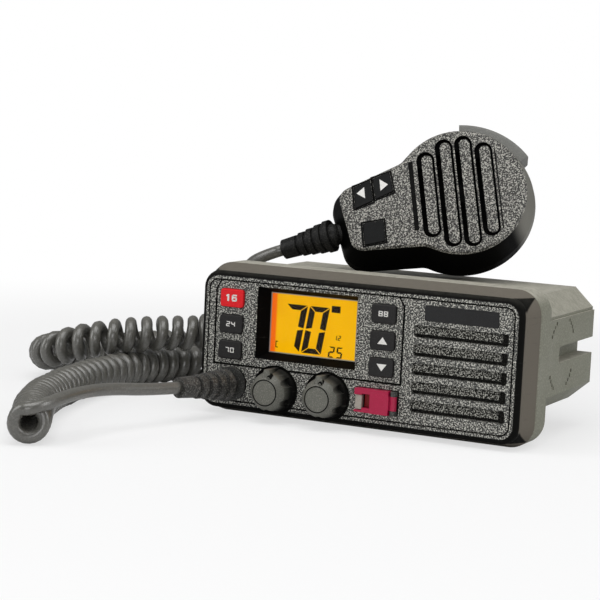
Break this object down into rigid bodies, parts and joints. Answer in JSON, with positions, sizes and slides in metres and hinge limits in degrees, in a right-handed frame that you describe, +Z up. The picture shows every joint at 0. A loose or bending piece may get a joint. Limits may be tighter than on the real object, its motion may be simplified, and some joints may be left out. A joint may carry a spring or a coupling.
{
  "type": "vhf marine radio",
  "caption": "Fixed-mount marine radio with backlit display, keys, two knobs and a covered alarm button, and a fist microphone that stands on top, on a curly cord.",
  "frame": {"origin": "on the standing plane, midway across, straight below the bracket's pivot axis", "axes": "+X to the right seen from the front, +Y to the rear, +Z up"},
  "size_m": [0.2724, 0.285, 0.1353],
  "materials": {
    "panel_black": "fine speckled texture",
    "case_grey": "satin olive-grey paint",
    "seal_rubber": "matte",
    "knob_grey": "satin",
    "key_dark": "matte with printed marks",
    "key_red": "matte with a white number",
    "window_clear": "clear acrylic pane",
    "display_amber": "backlit amber",
    "board_green": "solder mask",
    "switch_black": "moulded",
    "cover_magenta": "glossy",
    "button_red": "glossy",
    "catch_white": "moulded",
    "steel": "plain",
    "plate_dark": "semi-gloss, bare",
    "cloth_black": "woven",
    "cone_paper": "pressed pulp",
    "nickel": "plated",
    "brass": "turned",
    "sink_alloy": "black anodised casting",
    "cord_black": "semi-gloss sleeve",
    "handset_black": "fine speckled texture",
    "handset_grey": "satin"
  },
  "bodies": {
    "radio": {"front_panel": "panel_black", "display_frame": "panel_black", "distress_tray": "panel_black", "cord_collar": "panel_black", "cover_hinge": "panel_black", "rear_housing": "case_grey", "panel_gasket": "seal_rubber", "display_window": "window_clear", "display_module": "display_amber", "control_board": "board_green", "main_board": "board_green", "key_switches": "switch_black", "distress_switch": "switch_black", "collar_nut": "switch_black", "supply_inlet": "switch_black", "distress_catch": "catch_white", "cover_pin": "steel", "case_screws": "steel", "sink_screws": "steel", "rf_shield": "steel", "volume_control": "steel", "squelch_control": "steel", "speaker_basket": "steel", "name_plate": "plate_dark", "speaker_cloth": "cloth_black", "speaker_cone": "cone_paper", "antenna_socket": "nickel", "bracket_inserts": "brass", "heat_sink": "sink_alloy", "speaker_magnet": "sink_alloy", "power_module": "sink_alloy", "cord_boot": "cord_black", "cord_lead_radio": "cord_black", "cord_coil": "cord_black", "cord_lead_mic": "cord_black"},
    "calling_key": {"key_calling": "key_red"},
    "channel_key": {"key_channel": "key_dark"},
    "menu_key": {"key_menu": "key_dark"},
    "scan_key": {"key_scan": "key_dark"},
    "up_key": {"key_up": "key_dark"},
    "down_key": {"key_down": "key_dark"},
    "volume": {"volume_knob": "knob_grey", "volume_shaft": "steel"},
    "squelch": {"squelch_knob": "knob_grey", "squelch_shaft": "steel"},
    "cover": {"distress_cover": "cover_magenta"},
    "alarm_button": {"distress_button": "button_red"},
    "handset": {"mic_front_shell": "handset_black", "mic_rear_shell": "handset_black", "mic_board": "board_green", "mic_capsule": "steel", "mic_switches": "switch_black", "mic_ptt_switch": "switch_black", "mic_screws": "steel", "mic_hanger_stud": "steel", "mic_boot": "cord_black"},
    "ptt": {"mic_ptt_bar": "handset_grey"},
    "handset_down_key": {"mic_key_down": "key_dark"},
    "handset_up_key": {"mic_key_up": "key_dark"},
    "handset_power_key": {"mic_key_power": "key_dark"}
  },
  "joints": [
    {"name": "calling_key_press", "type": "slide", "parent": "radio", "child": "calling_key", "axis": [0, 1, 0], "range_m": [0, 0.0008], "stiffness_N_per_m": 1500},
    {"name": "channel_key_press", "type": "slide", "parent": "radio", "child": "channel_key", "axis": [0, 1, 0], "range_m": [0, 0.0008], "stiffness_N_per_m": 1500},
    {"name": "menu_key_press", "type": "slide", "parent": "radio", "child": "menu_key", "axis": [0, 1, 0], "range_m": [0, 0.0008], "stiffness_N_per_m": 1500},
    {"name": "scan_key_press", "type": "slide", "parent": "radio", "child": "scan_key", "axis": [0, 1, 0], "range_m": [0, 0.0008], "stiffness_N_per_m": 1500},
    {"name": "up_key_press", "type": "slide", "parent": "radio", "child": "up_key", "axis": [0, 1, 0], "range_m": [0, 0.0008], "stiffness_N_per_m": 1500},
    {"name": "down_key_press", "type": "slide", "parent": "radio", "child": "down_key", "axis": [0, 1, 0], "range_m": [0, 0.0008], "stiffness_N_per_m": 1500},
    {"name": "volume_turn", "type": "hinge", "parent": "radio", "child": "volume", "pos_m": [-0.038, -0.0474, 0.0142], "axis": [0, 1, 0], "range_deg": [-150, 150]},
    {"name": "squelch_turn", "type": "hinge", "parent": "radio", "child": "squelch", "pos_m": [-0.0123, -0.0474, 0.0142], "axis": [0, 1, 0], "range_deg": [-150, 150]},
    {"name": "cover_hinge", "type": "hinge", "parent": "radio", "child": "cover", "pos_m": [0.0205, -0.0491, 0.0151], "axis": [0, 0, 1], "range_deg": [0, 100], "stiffness_Nm_per_rad": 0.004, "springref_deg": -17.19},
    {"name": "alarm_press", "type": "slide", "parent": "radio", "child": "alarm_button", "axis": [0, 1, 0], "range_m": [0, 0.0009], "stiffness_N_per_m": 1500},
    {"name": "handset_lift", "type": "slide", "parent": "radio", "child": "handset", "axis": [0, 0, 1], "range_m": [0, 0.12]},
    {"name": "ptt_press", "type": "slide", "parent": "handset", "child": "ptt", "axis": [-0.2391, -0.4855, -0.8409], "range_m": [0, 0.0012], "stiffness_N_per_m": 2500},
    {"name": "handset_down_key_press", "type": "slide", "parent": "handset", "child": "handset_down_key", "axis": [-0.3125, 0.8585, -0.4067], "range_m": [0, 0.0008], "stiffness_N_per_m": 1500},
    {"name": "handset_up_key_press", "type": "slide", "parent": "handset", "child": "handset_up_key", "axis": [-0.3125, 0.8585, -0.4067], "range_m": [0, 0.0008], "stiffness_N_per_m": 1500},
    {"name": "handset_power_key_press", "type": "slide", "parent": "handset", "child": "handset_power_key", "axis": [-0.3125, 0.8585, -0.4067], "range_m": [0, 0.0008], "stiffness_N_per_m": 1500}
  ]
}
